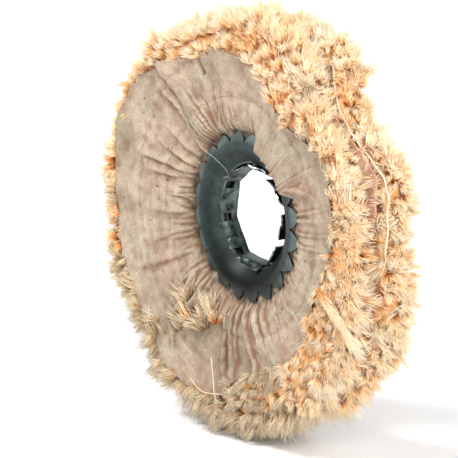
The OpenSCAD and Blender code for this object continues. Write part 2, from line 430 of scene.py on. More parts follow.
# %% [markdown]
# ## Shape of the cloth
#
# Every soft piece takes its place from the same few rules, so that covers, tufts and stitches fit
# together. A point on the wheel is given by its radius and its angle round the axle, and by how
# far out of the mid-plane it lies. Front is towards -Y. Lengths are in millimetres here, and
# become metres when a mesh is made.

# %% Smooth noise and places
FRONT, BACK = -1, 1


def lattice_value(i, j, seed):
    """A fixed value from 0 to 1 for each point of a grid."""
    value = np.sin(i * 127.1 + j * 311.7 + seed * 74.7) * 43758.5453
    return value - np.floor(value)


def noise(x, y, seed):
    """Smooth noise from -1 to 1, with features one unit apart."""
    i, j = np.floor(x), np.floor(y)
    u, v = x - i, y - j
    u, v = u * u * (3 - 2 * u), v * v * (3 - 2 * v)
    low = lattice_value(i, j, seed) * (1 - u) + lattice_value(i + 1, j, seed) * u
    high = lattice_value(i, j + 1, seed) * (1 - u) + lattice_value(i + 1, j + 1, seed) * u
    return 2 * (low * (1 - v) + high * v) - 1


def smooth_step(x, start, end):
    t = np.clip((x - start) / (end - start), 0, 1)
    return t * t * (3 - 2 * t)


def on_wheel(r, angle, out):
    """Places in metres from radius and angle, and the distance out along Y."""
    return np.stack([r * np.cos(angle), out + 0 * r, r * np.sin(angle)], -1) * MM


def round_outline(points):
    """A closed curve r(angle) through (degrees, radius) points, straight from one to the next."""
    degrees, radii = np.array(sorted(points)).T
    knots = np.radians(np.concatenate([degrees[-1:] - 360, degrees, degrees[:1] + 360]))
    radii = np.concatenate([radii[-1:], radii, radii[:1]])
    px, pz = radii * np.cos(knots), radii * np.sin(knots)

    def radius(angle):
        a = np.mod(angle, 2 * pi)
        k = np.clip(np.searchsorted(knots, a, side="right") - 1, 0, len(knots) - 2)
        ex, ez = px[k + 1] - px[k], pz[k + 1] - pz[k]
        return (px[k] * ez - pz[k] * ex) / (np.cos(a) * ez - np.sin(a) * ex)

    return radius


# %% [markdown]
# A used wheel isn't round. Each section's rim swells and shrinks by up to a centimetre, and each
# cover was cut off-centre with a few straight snips. The outlines below are (degrees, radius)
# points, starting at the right.

# %% Outlines
rim_front = round_outline([
    (0, 111), (23, 110), (36, 102), (47, 104), (57, 119), (65, 124), (80, 128), (100, 120),
    (115, 119), (132, 127), (152, 131), (165, 131), (176, 135), (185, 130), (196, 136),
    (204, 135), (220, 128), (235, 134), (255, 126), (275, 128), (300, 125), (325, 125),
    (345, 114),
])
rim_back = round_outline([
    (0, 122), (15, 131), (28, 122), (40, 110), (52, 126), (62, 129), (78, 121), (92, 117),
    (110, 121), (130, 127), (155, 122), (180, 128), (205, 124), (230, 128), (255, 123),
    (275, 126), (292, 122), (310, 128), (330, 132), (345, 133),
])
front_cover_edge = round_outline([
    (11, 88), (26, 96), (36, 86), (50, 76), (63, 75), (72, 85), (91, 93), (105, 99), (119, 98),
    (133, 110), (150, 122), (163, 124), (178, 121), (200, 122), (214, 120), (236, 124),
    (250, 119), (258, 114), (269, 96), (284, 89), (300, 91), (314, 85), (338, 79), (355, 84),
])
back_cover_edge = round_outline([
    (0, 104), (30, 100), (58, 107), (95, 113), (125, 108), (160, 101), (200, 97), (235, 95),
    (270, 99), (310, 107), (340, 102),
])
inner_cover_edge = round_outline([
    (2, 106), (10, 113), (20, 119), (28, 112), (36, 102), (47, 102), (55, 110), (90, 112),
    (130, 118), (180, 116), (230, 117), (280, 112), (320, 110), (345, 104),
])

# %% [markdown]
# The face of a section is deep in the ring's dish at the hub, swells out as soon as it is free of
# the teeth, and is almost flat from there to the rim. Pleats run out from the hub like those of a
# drawn purse. Each is a ridge with one steep side, and a few long ones reach the outer row of
# stitches.

# %% Folds and pleats
TEETH = 20
ROW_RADII = (70, 97)
ROW_STITCHES = (55, 76)
FACE_RADII = (31, 36, 43, 48.5, 51, 54, 60, 75, 95, 118, 140)
FACE_HEIGHTS = (3.8, 6.9, 9.6, 8.9, 10.3, 12.2, 13.8, 14.6, 15.2, 15.5, 15.5)
# Each fold has a start radius, length, angle and drift in degrees, width and height.
BIG_FOLDS = {
    FRONT: [
        (46, 84, 130, 6.5, 8.0, 5.2), (50, 70, 131.6, 6.5, 1.7, -3.4), (50, 58, 133, 7.5, 1.5, 4.0),
        (84, 18, 115, 0, 3.0, -3.0), (48, 42, 125, 6, 0.9, 2.2), (48, 44, 122, 9, 0.9, 2.4),
        (48, 44, 119.5, 11, 0.9, 2.4), (48, 40, 116.5, 11, 0.9, 2.2), (48, 36, 112, 9, 0.9, 2.2),
        (48, 36, 106, 5, 1.0, 2.2), (49, 40, 146, 3, 1.6, 2.4), (50, 60, 258, 5, 1.8, 3.6),
        (49, 66, 264, 4, 1.6, 3.8), (50, 52, 270, -4, 1.5, 2.8), (49, 62, 276, 6, 1.8, 3.4),
        (50, 44, 284, 4, 1.7, 2.8), (50, 38, 292, 4, 1.6, 2.4), (56, 60, 222, 14, 2.2, 4.4),
        (60, 50, 236, -14, 2.0, 3.0), (52, 66, 210, -6, 2.0, 3.0), (54, 50, 230, 6, 1.8, 3.0),
        (50, 54, 196, 3, 1.6, 2.4), (50, 50, 186, 0, 1.8, 2.4), (60, 40, 166, 6, 1.8, 2.8),
        (50, 58, 159.5, 8, 1.6, 3.0), (49, 44, 154, 3, 1.6, 2.6), (58, 22, 28, -14, 2.4, 3.2),
        (60, 18, 20, 16, 1.8, 2.2), (52, 44, 315, 4, 1.6, 1.8),
    ],
    BACK: [
        (49, 50, 20, 5, 3.4, 2.6), (50, 44, 95, -5, 2.8, 2.0),
        (50, 56, 200, 4, 3.6, 3.0), (50, 46, 285, -4, 3, 2.2),
    ],
}


def small_pleats(seed, count=92):
    """Pleats of uneven length and width, spread round the hub."""
    rng = np.random.default_rng(seed)
    pleats = []
    for i in range(count):
        length = 9 + 44 * rng.random() ** 2
        angle = 360 / count * (i + rng.uniform(-0.35, 0.35))
        drift, width = rng.uniform(-6, 6), rng.uniform(0.6, 1.3)
        pleats.append((45, length, angle, drift, width, rng.uniform(0.8, 2.6)))
    return pleats


PLEATS = {side: BIG_FOLDS[side] + small_pleats(11 + side) for side in (FRONT, BACK)}
print("pleats on the front:", len(PLEATS[FRONT]))


def pleat_height(side, r, angle):
    """Each pleat has one steep side and one slow one. A long one keeps its height further out."""
    total = np.zeros_like(r)
    for start, length, at, drift, width, height in PLEATS[side]:
        along = (r - start) / length
        middle = radians(at) + radians(drift) * along
        across = r * (np.mod(angle - middle + pi, 2 * pi) - pi)
        half_width = np.where(across > 0, 0.55 * min(width, 1.6), 1.5 * width)
        half_width = half_width * (0.7 + 0.8 * np.clip(along, 0, 1))
        fade_from = 0.65 if length > 56 else 0.3
        swell = smooth_step(along, 0, 0.16) * (1 - smooth_step(along, fade_from, 1))
        total += height * swell * np.exp(-np.abs(across / half_width) ** 1.25)
    return total

# %% [markdown]
# The stitches pull the cloth down in two rings, and it puffs up between the teeth. The height of
# a face is the sum of a smooth profile from hub to rim, slow billows, small crumples, stitches
# and pleats. Everything that lies on a face asks for this height.

# %% Height of a face
def row_height(r, angle):
    """The stitches pull the cloth down, and it puffs up a little between them."""
    total = np.zeros_like(r)
    for row_r, count in zip(ROW_RADII, ROW_STITCHES):
        away = np.abs(r - row_r)
        pull = np.cos(angle * count)
        total -= (0.45 + 0.25 * pull) * np.exp(-((away / 2.0) ** 2))
        total += 0.25 * np.exp(-(((away - 4.2) / 2.4) ** 2))
        total -= 0.22 * pull * np.exp(-away / 5)
    return total


def tooth_bulge(r, angle):
    """The cloth puffs up between the teeth, and in front of their tips."""
    between = 0.5 + 0.5 * np.cos(angle * TEETH)
    return 2.4 * np.exp(-(((r - 49) / 2.4) ** 2)) * between**1.5


def face_height(side, r, angle):
    """How far the face of a section stands from the wheel's mid-plane."""
    r, angle = np.asarray(r, float), np.asarray(angle, float)
    x, z = r * np.cos(angle), r * np.sin(angle)
    seed = 3 if side == FRONT else 8
    free = smooth_step(r, 50, 62)
    base = np.interp(r, FACE_RADII, FACE_HEIGHTS)
    billow = 1.9 * noise(x / 30, z / 30, seed) + 1.2 * noise(x / 14, z / 14, seed + 1)
    crumple = 0.46 * noise(x / 6.5, z / 6.5, seed + 2) + 0.18 * noise(x / 3.2, z / 3.2, seed + 3)
    relief = billow + crumple + row_height(r, angle)
    pleats = smooth_step(r, 46, 53) * pleat_height(side, r, angle)
    return base + free * relief + pleats + tooth_bulge(r, angle)


# %% [markdown]
# ## Clinch rings
#
# Each ring is stamped from one disc of sheet steel: a dish with a lip round the bore and a crown
# of teeth, which the press bends down into the cloth. It could be cut from a solid, but real
# sheet has the same thickness everywhere. So the ring is drawn out from a circle as a sheet, edge
# by edge, and gets its thickness at the end.

# %% Ring sizes
bore_mount = frame["record"]["mounts"][0]
BORE_R = bore_mount["dims"]["r_mm"]
LIP_R, ROOT_R = 31.0, 43.0
LIP_H, SHOULDER_H = 4.5, 12.0
SHEET = 0.9
TABS = 8
STEPS_PER_TOOTH, DISH_STEPS = 8, 8
SEGMENTS = TEETH * STEPS_PER_TOOTH


def dish_height(r):
    share = min(max((r - LIP_R) / (ROOT_R - LIP_R), 0), 1)
    return LIP_H + (SHOULDER_H - LIP_H) * sin(pi / 2 * share)


def extrude_ring(old_r, new_r, step_y):
    """Extrudes the selected edges to another radius and along Y."""
    bpy.ops.mesh.extrude_edges_move(TRANSFORM_OT_translate={"value": (0, step_y * MM, 0)})
    k = new_r / old_r
    bpy.ops.transform.resize(value=(k, 1, k), center_override=(0, 0, 0))


def select_edges(mesh, test):
    """In edit mode, selects just the edges whose two ends pass a test of (radius, angle, y) in mm."""
    editing = bmesh.from_edit_mesh(mesh)
    for part in (editing.faces, editing.edges, editing.verts):
        for item in part:
            item.select = False
    for edge in editing.edges:
        ends = [v.co for v in edge.verts]
        if all(test(np.hypot(x, z) / MM, np.arctan2(z, x), y / MM) for x, y, z in ends):
            edge.select_set(True)
    bmesh.update_edit_mesh(mesh)


def angle_gap(a, b):
    return (a - b + pi) % (2 * pi) - pi


# %% [markdown]
# The dish is pulled out from the lip in eight steps. The circle's edges that belong to one tooth
# are then drawn out together and squeezed towards its middle, which makes a leaf shape. Some
# teeth come out rounded and some pointed, as a worn tool leaves them.

# %% Dish and teeth
ROUNDED = ((0.28, 0.93), (0.58, 0.80), (0.84, 0.56), (1.0, 0.26))
POINTED = ((0.30, 0.84), (0.62, 0.52), (0.88, 0.22), (1.0, 0.06))


def start_ring(name, side):
    bpy.ops.mesh.primitive_circle_add(
        vertices=SEGMENTS, radius=LIP_R * MM, fill_type="NOTHING",
        location=(0, side * LIP_H * MM, 0), rotation=(pi / 2, 0, 0),
    )
    ring = bpy.context.object
    ring.name = name
    bpy.ops.object.transform_apply(location=True, rotation=True, scale=True)
    bpy.ops.object.mode_set(mode="EDIT")
    bpy.ops.mesh.select_all(action="SELECT")
    radii = [LIP_R + (ROOT_R - LIP_R) * i / DISH_STEPS for i in range(DISH_STEPS + 1)]
    for old_r, new_r in zip(radii, radii[1:]):
        extrude_ring(old_r, new_r, side * (dish_height(new_r) - dish_height(old_r)))
    return ring


def draw_tooth(ring, side, middle, length, shape, droop):
    half = pi / TEETH + 0.002
    on_root = lambda r, a, y: abs(r - ROOT_R) < 0.1 and abs(angle_gap(a, middle)) < half
    select_edges(ring.data, on_root)
    before_r, before_w, before_y = ROOT_R, 1.0, 0.0
    for share, width in shape:
        r = ROOT_R + length * share
        y = -droop * share ** 1.6
        extrude_ring(before_r, r, side * (y - before_y))
        spot = (r * cos(middle) * MM, side * (SHOULDER_H + y) * MM, r * sin(middle) * MM)
        squeeze = width / before_w * before_r / r
        bpy.ops.transform.resize(value=(squeeze,) * 3, center_override=spot)
        before_r, before_w, before_y = r, width, y


def crown(ring, side, seed, pointed_from, pointed_to):
    """All the teeth. Those between the two angles are long and pointed."""
    rng = np.random.default_rng(seed)
    for i in range(TEETH):
        middle = 2 * pi * (i + 0.5) / TEETH
        degrees = np.degrees(middle)
        pointed = pointed_from < degrees < pointed_to or rng.random() < 0.15
        length = (7.8 if pointed else 6.4) + rng.uniform(-0.5, 0.3)
        draw_tooth(ring, side, middle, length, POINTED if pointed else ROUNDED, rng.uniform(1.3, 2.0))


# %% [markdown]
# The front ring ends in a short stub. The back ring runs on as a round collar that lines the
# bore, and from the collar eight flat tabs reach through the front ring. On the real wheel they
# were driven outwards by hand tools, so each has its own lean and dents.

# %% Collar and tabs
TAB_LEANS = (0.7, 1.5, 2.0, 1.2, 2.4, 2.2, 2.0, 1.1)
TAB_TWISTS = (0.10, -0.12, 0.06, 0.16, 0.02, -0.10, 0.12, -0.14)
TAB_CRUMPLES = (0.3, 0.4, 0.4, 0.3, 0.9, 1.3, 1.0, 0.5)
TAB_STEPS = (1.4, 1.5, 1.5, 1.4, 1.2)
TAB_DENT = 1.1
TAB_GAPS = (15, 60, 102, 151, 191, 236, 290, 335)
HALF_SLOT = 3
TAB_ENDS = list(zip((TAB_GAPS[-1] - 360, *TAB_GAPS), TAB_GAPS))
TAB_MIDDLES = [radians((a + b) / 2) for a, b in TAB_ENDS]
TAB_HALVES = [radians((b - a) / 2 - HALF_SLOT) for a, b in TAB_ENDS]


# How each ring goes on from its lip, as (radius, height) points.
STUB = [
    (LIP_R, LIP_H), (30.5, LIP_H - 0.05), (30.2, LIP_H - 0.35), (30.1, LIP_H - 1.2),
    (30.1, LIP_H - 2.9),
]
COLLAR = [
    (LIP_R, LIP_H), (28.6, LIP_H), (27.9, LIP_H - 0.15), (BORE_R, LIP_H - 0.6), (BORE_R, 2.0),
    (BORE_R, 0.0),
]


def draw_inwards(ring, side, path):
    select_edges(ring.data, lambda r, a, y: abs(r - LIP_R) < 0.1 and abs(abs(y) - LIP_H) < 0.05)
    for (old_r, old_h), (new_r, new_h) in zip(path, path[1:]):
        extrude_ring(old_r, new_r, side * (new_h - old_h))


def add_tabs(ring, side):
    """Each tab is drawn out of the collar's free edge in five steps, leaving a slot on each side."""
    for middle, half in zip(TAB_MIDDLES, TAB_HALVES):
        on_collar = lambda r, a, y: (
            abs(r - BORE_R) < 0.1 and abs(y) < 0.05 and abs(angle_gap(a, middle)) < half
        )
        select_edges(ring.data, on_collar)
        for step in TAB_STEPS:
            shift = {"value": (0, -side * step * MM, 0)}
            bpy.ops.mesh.extrude_edges_move(TRANSFORM_OT_translate=shift)

# %% [markdown]
# The tabs leave the collar as parts of a cylinder. Each vertex is then moved: first onto the flat
# of its tab, then outwards by the lean, twist and crumple of that tab. Bending each with a
# modifier would give smoother metal than hand tools leave.

# %% Bent tabs
def shape_tabs(ring, side):
    """Flattens the tabs and leans their ends outwards. Nothing else lies inside the lip there."""
    rng = np.random.default_rng(5)
    wave = rng.uniform(0, 6.28, TABS)
    for vertex in ring.data.vertices:
        x, y, z = vertex.co / MM
        r, past = np.hypot(x, z), -side * y
        if r > LIP_R - 0.3 or past < -SHOULDER_H:
            continue
        angle = np.arctan2(z, x)
        tab = int(np.argmin([abs(angle_gap(angle, middle)) for middle in TAB_MIDDLES]))
        middle = TAB_MIDDLES[tab]
        sideways = r * sin(angle_gap(angle, middle))
        flat = min((LIP_R - r) / 2.4, 1)
        outwards = (1 - flat) * r * cos(angle_gap(angle, middle)) + flat * (r - TAB_DENT)
        end = max(past - 3.8, 0) / 3.2
        outwards += end**1.6 * (TAB_LEANS[tab] + TAB_TWISTS[tab] * sideways)
        outwards += flat * (0.25 + 0.5 * end) * (1 + sin(sideways * 0.5 + wave[tab])) * 0.6
        crumple = noise(np.array([sideways * 0.55]), np.array([past * 0.6]), tab)[0]
        outwards += end * TAB_CRUMPLES[tab] * crumple
        past += end * (0.9 * sin(sideways * 0.35 + 2 * wave[tab]) + 0.06 * sideways)
        vertex.co = Vector((
            outwards * cos(middle) - sideways * sin(middle), -side * past,
            outwards * sin(middle) + sideways * cos(middle),
        )) * MM


# %% [markdown]
# Last, the sheet gets its thickness on the side away from view, its cut edges are darkened and
# rounded, and a slow wave pushes it a few tenths of a millimetre out of true.

# %% Thickness and finish
def face_outwards(piece, side):
    """Turns the sheet's faces so that its dish faces away from the cloth."""
    bpy.ops.object.mode_set(mode="EDIT")
    bpy.ops.mesh.select_all(action="SELECT")
    bpy.ops.mesh.normals_make_consistent(inside=False)
    bpy.ops.object.mode_set(mode="OBJECT")
    if sum(face.normal.y * face.area for face in piece.data.polygons) * side < 0:
        bpy.ops.object.mode_set(mode="EDIT")
        bpy.ops.mesh.flip_normals()
        bpy.ops.object.mode_set(mode="OBJECT")


def apply_modifier(piece, kind, **settings):
    modifier = piece.modifiers.new(kind.lower(), kind)
    for name, value in settings.items():
        setattr(modifier, name, value)
    bpy.ops.object.modifier_apply(modifier=modifier.name)


def make_sheet_steel(ring, side):
    face_outwards(ring, side)
    for vertex in ring.data.vertices:
        x, y, z = vertex.co / MM
        wave = noise(np.array([x / 9.0]), np.array([z / 9.0]), 20 + side)[0]
        vertex.co.y += 0.16 * wave * MM * (np.hypot(x, z) > LIP_R)
    for material in (ring_steel, edge_steel, bright_steel):
        ring.data.materials.append(material)
    apply_modifier(
        ring, "SOLIDIFY", thickness=SHEET * MM, offset=-1.0, use_even_offset=True,
        material_offset_rim=1,
    )
    for face in ring.data.polygons:
        if face.material_index == 1 and np.hypot(face.center.x, face.center.z) < LIP_R * MM:
            face.material_index = 2
    apply_modifier(
        ring, "BEVEL", width=0.16 * MM, segments=2, limit_method="ANGLE", angle_limit=radians(50)
    )
    apply_modifier(ring, "SUBSURF", levels=1, render_levels=1)
    bpy.ops.object.shade_smooth()

# %% [markdown]
# The two rings share every step but the inner edge. The front one has its pointed teeth at the
# lower right, and the back one near its top.

# %% Two rings
front_ring = start_ring("stamped_front_ring", FRONT)
draw_inwards(front_ring, FRONT, STUB)
crown(front_ring, FRONT, seed=2, pointed_from=255, pointed_to=345)
bpy.ops.object.mode_set(mode="OBJECT")
make_sheet_steel(front_ring, FRONT)

back_ring = start_ring("stamped_back_ring", BACK)
draw_inwards(back_ring, BACK, COLLAR)
add_tabs(back_ring, BACK)
crown(back_ring, BACK, seed=9, pointed_from=40, pointed_to=110)
bpy.ops.object.mode_set(mode="OBJECT")
shape_tabs(back_ring, BACK)
make_sheet_steel(back_ring, BACK)

for piece, node in ((front_ring, "front_clinch_ring"), (back_ring, "back_clinch_ring")):
    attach(piece, "root")
    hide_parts(node)
    print(piece.name, len(piece.data.polygons), "faces")

# %% [markdown]
# ## Cotton covers
#
# A cover is one disc of cotton, gathered at the hub and stitched down in two rings. Cloth
# simulation would need a very fine mesh to find such small pleats, and would give different ones
# than a real wheel's. So the disc is drawn out ring by ring from its inner edge, and each point
# is then set at the height of its pleats.

# %% Disc of cloth
CLOTH = 0.4


def cloth_disc(name, rings, around, inner_r, edge):
    """A flat disc of cloth in the mid-plane, with an off-round outer edge."""
    bpy.ops.mesh.primitive_circle_add(
        vertices=around, radius=inner_r * MM, fill_type="NOTHING", rotation=(pi / 2, 0, 0)
    )
    disc = bpy.context.object
    disc.name = name
    bpy.ops.object.transform_apply(location=False, rotation=True, scale=False)
    bpy.ops.object.mode_set(mode="EDIT")
    bpy.ops.mesh.select_all(action="SELECT")
    for i in range(rings):
        extrude_ring(inner_r + i, inner_r + i + 1, 0)
    bpy.ops.object.mode_set(mode="OBJECT")
    flat = np.zeros(len(disc.data.vertices) * 3)
    disc.data.vertices.foreach_get("co", flat)
    flat = flat.reshape(-1, 3) / MM
    share = (np.hypot(flat[:, 0], flat[:, 2]) - inner_r) / rings
    angle = np.arctan2(flat[:, 2], flat[:, 0])
    r = inner_r + (edge(angle) - inner_r) * share
    return disc, r, angle


def set_places(piece, places):
    piece.data.vertices.foreach_set("co", places.astype(np.float32).ravel())
    piece.data.update()


def paint(piece, name, values):
    layer = piece.data.attributes.new(name, "FLOAT", "POINT")
    layer.data.foreach_set("value", values.astype(np.float32))

# %% [markdown]
# What is painted on the vertices comes from the same map of radius and angle: stains, the black
# grease of the teeth with painted shadow under their tips, and painted shade beside the biggest fold.
# Over one stretch the cloth has rolled in over the teeth, which moves it as well.

# %% Stains and the lap
def soil_of(r, angle):
    """Where compound has stained a face: round the ring, and in a patch low on the left."""
    x, z = r * np.cos(angle), r * np.sin(angle)
    near_ring = 0.35 * (1 - smooth_step(r, 49, 58))
    patch = np.exp(-(((x + 40) / 22) ** 2 + ((z + 66) / 17) ** 2))
    patch = patch * (0.6 + 0.5 * noise(x / 8, z / 8, 40))
    faint = 0.35 * np.clip(noise(x / 22, z / 22, 41), 0, 1)
    return np.clip(near_ring + patch + faint, 0, 1)


LAP_MIDDLE, LAP_HALF_WIDTH = {FRONT: 48, BACK: 250}, 30


def lap_over_teeth(side, r, angle):
    """Over one stretch the cloth has swelled up and rolled inwards, and hides the teeth."""
    beside = np.degrees(angle_gap(angle, radians(LAP_MIDDLE[side]))) / LAP_HALF_WIDTH
    strength = smooth_step(1 - np.abs(beside), 0, 0.35)
    along = np.clip((r - 50) / 14, 0, 1)
    roll = np.sin(pi * along**0.75)
    return strength * 11.5 * roll**1.3, strength * 3.2 * np.sin(pi * along**0.6)


def grease_and_tip_shadow_of(r, angle):
    """Grease from the teeth and painted shadow under their tips, in a ragged band where the tips
    press into the cloth.
    """
    x, z = r * np.cos(angle), r * np.sin(angle)
    ragged = 0.55 + 0.6 * noise(x / 2.5, z / 2.5, 44)
    return np.clip((1 - smooth_step(r, 49.6, 51.8)) * ragged, 0, 0.9)


def shade_beside_fold(side, r, angle):
    """Painted shade beside the big double fold: the cloth there is painted browner."""
    beside = (np.degrees(np.mod(angle, 2 * pi)) - 139) / 5
    reach = smooth_step(r, 50, 70) * (1 - smooth_step(r, 98, 116))
    return 0.3 * (side == FRONT) * np.exp(-(beside**2)) * reach

# %% [markdown]
# A crease is where the cloth lies lower than the mean of its neighbours, and it is painted
# darker. Real creases are dirty and get little light, and on a mesh this fine the shading alone
# would leave them too pale.

# %% Outer covers
def neighbours(side, r, angle, away):
    """The mean height of the cloth at four points this far away."""
    return (
        face_height(side, r + away, angle) + face_height(side, r - away, angle)
        + face_height(side, r, angle + away / r) + face_height(side, r, angle - away / r)
    ) / 4


def outer_cover(name, side, edge):
    disc, r, angle = cloth_disc(name, rings=62, around=480, inner_r=33, edge=edge)
    height = face_height(side, r, angle)
    crease = neighbours(side, r, angle, 1.3) - height
    hollow = neighbours(side, r, angle, 5.0) - height
    near_edge = smooth_step(r, edge(angle) - 3, edge(angle))
    curl = 0.7 * near_edge * (0.4 + noise(angle * 9, 0 * r, 30 + side))
    inwards, upwards = lap_over_teeth(side, r, angle)
    set_places(disc, on_wheel(r - inwards, angle, side * (height + curl + upwards + 0.3)))
    at_stitches = sum(np.exp(-(((r - row_r) / 3) ** 2)) for row_r in ROW_RADII)
    # Painted shade in creases and hollows, weaker along the stitch rows, with the painted shade
    # beside the big fold added.
    painted_crease_shade = (3.0 * crease + 0.32 * hollow) * (1 - 0.65 * at_stitches)
    paint(disc, "fold", np.clip(painted_crease_shade + shade_beside_fold(side, r, angle) + 0.04, 0, 0.9))
    paint(disc, "soil", soil_of(r, angle))
    paint(disc, "grime", grease_and_tip_shadow_of(r, angle))
    face_outwards(disc, side)
    disc.data.materials.append(cover_cotton)
    apply_modifier(disc, "SOLIDIFY", thickness=CLOTH * MM, offset=-1.0)
    bpy.ops.object.shade_smooth()
    return disc


front_cover = outer_cover("gathered_front_cover", FRONT, front_cover_edge)
back_cover = outer_cover("gathered_back_cover", BACK, back_cover_edge)

# %% [markdown]
# The two inner covers line the groove. Their cut edges are wavy, because nothing holds them out
# there.

# %% Inner covers
GROOVE_RADII = (31, 50, 69, 90, 125)
GROOVE_HALF = (0.45, 0.55, 1.1, 1.7, 2.6)


def groove_height(r):
    """How far each inner cover's outer side stands from the mid-plane."""
    return np.interp(r, GROOVE_RADII, GROOVE_HALF)


def inner_cover(name, side):
    disc, r, angle = cloth_disc(name, rings=34, around=360, inner_r=33, edge=inner_cover_edge)
    x, z = r * np.cos(angle), r * np.sin(angle)
    loose = smooth_step(r, 90, 118)
    wave = loose * (0.9 * noise(angle * 10, r / 20, 50 + side) + 0.5 * noise(x / 5, z / 5, 52 + side))
    height = groove_height(r) + np.clip(wave, -1.0, 1.4)
    set_places(disc, on_wheel(r, angle, side * height))
    edge = inner_cover_edge(angle)
    at_edge = smooth_step(r, edge - 2.5, edge)
    # Painted shade in the groove: the groove cover is painted darker all over, more where its wave
    # brings it nearer the mid-plane, and less at its cut edge.
    paint(disc, "fold", np.clip(0.35 - 0.5 * wave, 0, 0.8) * (1 - 0.9 * at_edge))
    paint(disc, "soil", 0 * r)
    paint(disc, "grime", 0 * r)
    face_outwards(disc, -side)
    disc.data.materials.append(inner_cotton)
    apply_modifier(disc, "SOLIDIFY", thickness=CLOTH * MM, offset=-1.0)
    bpy.ops.object.shade_smooth()
    return disc


front_inner = inner_cover("front_groove_cover", FRONT)
back_inner = inner_cover("back_groove_cover", BACK)

# The area is that of the disc before it was gathered, in square metres.
for piece, node, ply, disc_area in (
    (front_cover, "front_cover", "front_sisal_ply_1", 0.0330),
    (back_cover, "back_cover", "back_sisal_ply_1", 0.0300),
    (front_inner, "front_inner_cover", "front_sisal_ply_4", 0.0385),
    (back_inner, "back_inner_cover", "back_sisal_ply_4", 0.0385),
):
    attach(piece, "root")
    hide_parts(node)
    print(piece.name, len(piece.data.polygons), "faces")

# %% [markdown]
# ## Stitches
#
# A lockstitch shows as a row of short lengths of thread, which dive into the cloth at each needle
# hole. One stitch is modelled as a thin six-sided bar that bows up in its middle, and then copied
# round each row.

# %% One stitch
THREAD = 0.5
STITCH = 5.0


def model_stitch(length):
    """A six-sided bar along Z in five lengths, and which of its faces lie in a needle hole."""
    bpy.ops.mesh.primitive_cylinder_add(
        vertices=6, radius=THREAD / 2, depth=length, end_fill_type="NGON"
    )
    stitch = bpy.context.object
    bpy.ops.object.mode_set(mode="EDIT")
    for cut in (-0.40, -0.18, 0.18, 0.40):
        bpy.ops.mesh.select_all(action="SELECT")
        bpy.ops.mesh.bisect(plane_co=(0, 0, cut * length), plane_no=(0, 0, 1))
    bpy.ops.object.mode_set(mode="OBJECT")
    shape = np.array([v.co for v in stitch.data.vertices])
    faces = [tuple(p.vertices) for p in stitch.data.polygons]
    in_hole = [abs(p.center.z) > 0.4 * length for p in stitch.data.polygons]
    bpy.data.objects.remove(stitch, do_unlink=True)
    return shape, faces, in_hole

# %% [markdown]
# Each row has its own number of stitches, and each stitch wanders a little from the line, as a
# heavy sewing machine leaves it. The needle thread shows on the outer faces and the bobbin thread
# in the groove.

# %% Rows of stitches
def stitch_ring(name, side, row, height_at, phase, node):
    """Copies the stitch round a row. A stitch lies along the row and its ends sink into the cloth."""
    row_r, count = ROW_RADII[row], ROW_STITCHES[row]
    shape, faces, in_hole = model_stitch(STITCH)
    rng = np.random.default_rng(70 + row + 10 * side)
    places, all_faces = [], []
    for i in range(count):
        middle = 2 * pi * (i + 0.5 + phase) / count + rng.normal(0, 0.004)
        wander = rng.normal(0, 0.25)
        angle = middle + shape[:, 2] / row_r
        r = row_r + wander + shape[:, 0] + 0 * angle
        bow = 1 - np.abs(shape[:, 2] / STITCH * 2) ** 3
        out = height_at(side, row_r + wander + 0 * angle, angle) + 0.4 * bow + shape[:, 1]
        all_faces += [tuple(v + len(places) * len(shape) for v in face) for face in faces]
        places.append(on_wheel(r, angle, side * out))
    mesh = bpy.data.meshes.new(name)
    mesh.from_pydata(np.concatenate(places).tolist(), [], all_faces)
    piece = bpy.data.objects.new(name, mesh)
    bpy.context.collection.objects.link(piece)
    mesh.materials.append(waxed_thread)
    mesh.materials.append(needle_hole)
    mesh.polygons.foreach_set("material_index", np.array(in_hole * count, np.int32))
    recalculate(piece)
    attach(piece, "root")
    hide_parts(node)


def recalculate(piece):
    bpy.ops.object.select_all(action="DESELECT")
    bpy.context.view_layer.objects.active = piece
    piece.select_set(True)
    bpy.ops.object.mode_set(mode="EDIT")
    bpy.ops.mesh.select_all(action="SELECT")
    bpy.ops.mesh.normals_make_consistent(inside=False)
    bpy.ops.object.mode_set(mode="OBJECT")
    bpy.ops.object.shade_smooth()


def in_groove(side, r, angle):
    """The height of a bobbin thread, for either side."""
    return groove_height(r) - 0.2


for side, word in ((FRONT, "front"), (BACK, "back")):
    for row, which in enumerate(("inner", "outer")):
        for thread, height_at, phase in (
            ("needle", face_height, 0), ("bobbin", in_groove, 0.25 * side),
        ):
            name, node = f"{word}_{which}_{thread}_stitches", f"{word}_{thread}_thread_{which}"
            stitch_ring(name, side, row, height_at, phase, node)
print("stitches:", 4 * sum(ROW_STITCHES))

# %% [markdown]
# ## Sisal plies
#
# Each section has four plies of coarse weave. What shows is their frayed edges: thousands of
# loose fibres in tufts, one tuft to a yarn. First the woven body of each ply is made, as a thick
# ring with a lumpy outside, and the tufts are then rooted in it.

# %% Woven bodies
PLIES = 4
rims = {FRONT: rim_front, BACK: rim_back}
cover_edges = {FRONT: front_cover_edge, BACK: back_cover_edge}


def ply_levels(side, r, angle, k):
    """The two faces of ply k, from 0 outermost: equal shares of the room between cover and groove."""
    outside = np.minimum(face_height(side, r, angle) - 0.5, 15.2)
    inside = groove_height(r) + 0.5
    share = (outside - inside) / PLIES
    return outside - k * share, outside - (k + 1) * share


def yarn_knuckles(r, angle, size=6.5):
    """The over and under of a plain weave, as a height from -1 to 1."""
    x, z = r * np.cos(angle) / size * pi, r * np.sin(angle) / size * pi
    over = np.sign(np.sin(x) * np.sin(z))
    return np.abs(np.sin(x)) ** 0.5 * np.abs(np.sin(z)) ** 0.5 * (0.6 + 0.4 * over)


